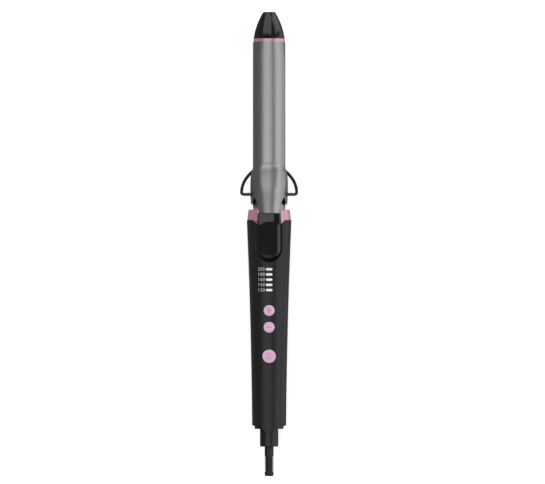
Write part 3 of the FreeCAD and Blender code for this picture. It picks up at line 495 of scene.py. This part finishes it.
def button_sign(name):
    """The floor of the sign that is sunk into a button's top, in a darker pink that is painted shade for the
    engraved grooves.
    """
    low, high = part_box(f"{name}_button")
    centre = (low + high) / 2
    bm = bmesh.new()
    if name in ("plus", "minus"):
        flat_bar(bm, (-SIGN_ARM, SIGN_ARM), (-SIGN_HALF, SIGN_HALF))
    if name == "plus":
        flat_bar(bm, (-SIGN_HALF, SIGN_HALF), (SIGN_HALF, SIGN_ARM))
        flat_bar(bm, (-SIGN_HALF, SIGN_HALF), (-SIGN_ARM, -SIGN_HALF))
    if name == "power":
        for step in range(RING_STEPS):
            corners = ((RING_INNER, step), (RING_OUTER, step), (RING_OUTER, step + 1), (RING_INNER, step + 1))
            flat_shape(bm, [on_circle(*corner) for corner in corners])
        flat_bar(bm, (-STROKE_HALF_WIDTH, STROKE_HALF_WIDTH), (-STROKE_HALF_LENGTH, STROKE_HALF_LENGTH))
    bmesh.ops.remove_doubles(bm, verts=bm.verts, dist=1e-7)
    bmesh.ops.translate(bm, verts=bm.verts, vec=(centre.x, centre.y, high.z - SIGN_DEPTH))
    # the sign's floor is a thin layer of darker pink, painted shade for the grooves
    sign = new_piece(f"{name}_sign", bm, GROOVE_SHADE_PINK, name)
    thicken(sign, "paint", GROOVE_SHADE_THICKNESS)


for button in BUTTONS:
    button_sign(button)


# ---------------------------------------------------------------- shells with softened edges
# the edges that are rounded, and the sharper ones that stay sharp in the shading, by their angle
ROUNDED_FROM, SHARP_FROM = math.radians(32), math.radians(18)
# the hood: where its front edge lies and ends, how far it falls back at the sides, its shoulders' height
HOOD_EDGE, HOOD_FADE, HOOD_FADE_LENGTH = 117.0, 127, 14
HOOD_ARC, HOOD_ARC_AT, HOOD_SHOULDER = 4.3, 12, 0.55
HOOD_RISE_LENGTH, CROWN_HALF_WIDTH, SHOULDER_LENGTH = 2.6, 3, 5
HOOD_FOOT, HOOD_GRID = 3, 0.9 * MM


def touches(face, low, high):
    """Whether a face reaches into the box between two corners."""
    for axis in range(3):
        places = [vert.co[axis] for vert in face.verts]
        if max(places) <= low[axis] or min(places) >= high[axis]:
            return False
    return True


def cut_into_grid(bm, low, high, pitch):
    """Slice the faces in a box across and along, so that they can be shaped."""
    for axis in (0, 1):
        for number in range(int((high[axis] - low[axis]) / pitch) + 1):
            place, normal = Vector(), Vector()
            place[axis], normal[axis] = low[axis] + number * pitch, 1
            faces = [face for face in bm.faces if touches(face, low, high)]
            parts = {part for face in faces for part in (face, *face.edges, *face.verts)}
            bmesh.ops.bisect_plane(bm, geom=list(parts), plane_co=place, plane_no=normal, dist=1e-7)


def smooth_step(value):
    """0 to 1 with a soft start and end."""
    value = min(max(value, 0.0), 1.0)
    return value * value * (3 - 2 * value)


def arch_the_hood(bm):
    """Raise the hood's shoulders so that its front edge runs in an arc to both sides."""
    low = Vector((-15 * MM, y_at(142), AXIS_Z + HOOD_FOOT * MM))
    high = Vector((15 * MM, y_at(113), AXIS_Z + 20 * MM))
    cut_into_grid(bm, low, high, HOOD_GRID)
    for vert in bm.verts:
        across, station, up = vert.co.x / MM, (TIP_Y - vert.co.y) / MM, (vert.co.z - AXIS_Z) / MM
        if up < HOOD_FOOT:
            continue
        edge = HOOD_EDGE + HOOD_ARC * (across / HOOD_ARC_AT) ** 2
        fade = smooth_step((station - HOOD_FADE) / HOOD_FADE_LENGTH)
        rise = smooth_step((station - edge) / HOOD_RISE_LENGTH) * (1 - fade)
        shoulder = smooth_step((abs(across) - CROWN_HALF_WIDTH) / SHOULDER_LENGTH)
        away = Vector((across, 0, up)).normalized()
        vert.co += away * (HOOD_SHOULDER * MM * rise * shoulder)


def softened(node_name, body, width, reshape=None):
    """A copy of a CAD sub-part whose sharp edges are rounded a little."""
    source = nodes[node_name]
    bm = bmesh.new()
    bm.from_mesh(source.data)
    bmesh.ops.remove_doubles(bm, verts=bm.verts, dist=2e-6)
    bmesh.ops.dissolve_degenerate(bm, edges=bm.edges, dist=1e-6)
    bm.transform(source.matrix_world)
    if reshape:
        reshape(bm)
    for edge in bm.edges:
        edge.smooth = edge.is_manifold and edge.calc_face_angle(0) < SHARP_FROM
    piece = new_piece(f"soft_{node_name}", bm, source.data.materials[0], body)
    bevel = piece.modifiers.new("edges", "BEVEL")
    bevel.limit_method = "ANGLE"
    bevel.angle_limit = ROUNDED_FROM
    bevel.width = width
    bevel.segments = 3
    bevel.harden_normals = True
    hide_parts(node_name)


def make_spring():
    """The coil spring under the lever, copied from the CAD spring; the real one shortens as the clamp opens,
    this copy keeps its CAD length.
    """
    source = nodes["clamp_spring"]
    bm = bmesh.new()
    bm.from_mesh(source.data)
    bm.transform(source.matrix_world)
    spring = new_piece("coil_spring", bm, MATERIALS["spring_steel"], "handle")
    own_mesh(spring)
    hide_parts("clamp_spring")


# the numbers are set down on the shells before softened copies hide them
bars_low, bars_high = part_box("bar_light_pipes")
for row, number in enumerate(NUMBERS):
    printed_number(number, bars_low.x - NUMBER_GAP, bars_high.y - BAR_WIDTH / 2 - row * BAR_PITCH)
softened("front_shell", "handle", 0.3 * MM)
softened("collar", "handle", 0.25 * MM)
softened("clamp_jaw", "clamp", 0.18 * MM, reshape=arch_the_hood)
make_spring()


# ---------------------------------------------------------------- stage
KEY_RADIANCE, LOW_RADIANCE = 1.4, 0.8
LIGHT_DISTANCE = 2.0
CAMERA_HEIGHT, CAMERA_X, CAMERA_Y = 8.0, 0.0026, 0.0016
VIEW_WIDTH, SENSOR_WIDTH = 0.4198, 36


def make_floor():
    """A pale paper floor that throws no shadow or reflection on the iron."""
    half = 6.0
    corners = [(-half, -half, 0), (half, -half, 0), (half, half, 0), (-half, half, 0)]
    mesh = bpy.data.meshes.new("floor")
    mesh.from_pydata(corners, [], [(0, 1, 2, 3)])
    floor = bpy.data.objects.new("floor", mesh)
    bpy.context.scene.collection.objects.link(floor)
    surface = Surface("floor_paper")
    surface.tint(surface.noise(3, 2), srgb(244, 244, 244), srgb(248, 248, 248))
    surface.set(Roughness=0.9, Specular_IOR_Level=0.1, Emission_Color=(1, 1, 1, 1), Emission_Strength=0.55)
    mesh.materials.append(surface.material)
    floor.visible_glossy = False
    floor.visible_shadow = False


def softbox(name, across, along, radiance):
    """A soft light that fills a window of directions, seen from the object's middle.

    across and along are ranges in degrees from overhead, towards +X and towards the tip.
    """
    turn, tilt = (math.radians(sum(angles) / 2) for angles in (across, along))
    width, length = (
        2 * LIGHT_DISTANCE * math.tan(math.radians(end - start) / 2) for start, end in (across, along)
    )
    data = bpy.data.lights.new(name, "AREA")
    data.shape = "RECTANGLE"
    data.size, data.size_y = width, length
    data.energy = radiance * math.pi * width * length
    light = bpy.data.objects.new(name, data)
    facing = Matrix.Rotation(turn, 4, "Y") @ Matrix.Rotation(-tilt, 4, "X")
    outwards = Matrix.Translation((0, 0, LIGHT_DISTANCE))
    light.matrix_world = Matrix.Translation((0, 0, AXIS_Z)) @ facing @ outwards
    bpy.context.scene.collection.objects.link(light)


def make_world():
    """An even, dim surrounding."""
    world = bpy.data.worlds.new("studio")
    world.use_nodes = True
    world.node_tree.nodes["Background"].inputs["Color"].default_value = (0.17, 0.17, 0.172, 1)
    bpy.context.scene.world = world


def make_camera():
    """A far camera straight above, so that the view is nearly without perspective."""
    data = bpy.data.cameras.new("camera")
    data.sensor_width = SENSOR_WIDTH
    data.lens = SENSOR_WIDTH * CAMERA_HEIGHT / VIEW_WIDTH
    data.clip_end = 20
    camera = bpy.data.objects.new("camera", data)
    camera.location = (CAMERA_X, CAMERA_Y, AXIS_Z + CAMERA_HEIGHT)
    bpy.context.scene.collection.objects.link(camera)
    bpy.context.scene.camera = camera


make_floor()
softbox("overhead", (-42, 17), (-34, 14), KEY_RADIANCE)
softbox("right_side", (39, 87), (-34, 20), KEY_RADIANCE)
softbox("right_of_the_tip", (56, 96), (27, 56), KEY_RADIANCE)
softbox("low_right", (90, 124), (-34, 46), LOW_RADIANCE)
softbox("beyond_the_tip", (-48, 12), (29, 70), KEY_RADIANCE)
make_world()
make_camera()
bpy.context.scene.view_settings.view_transform = "Standard"
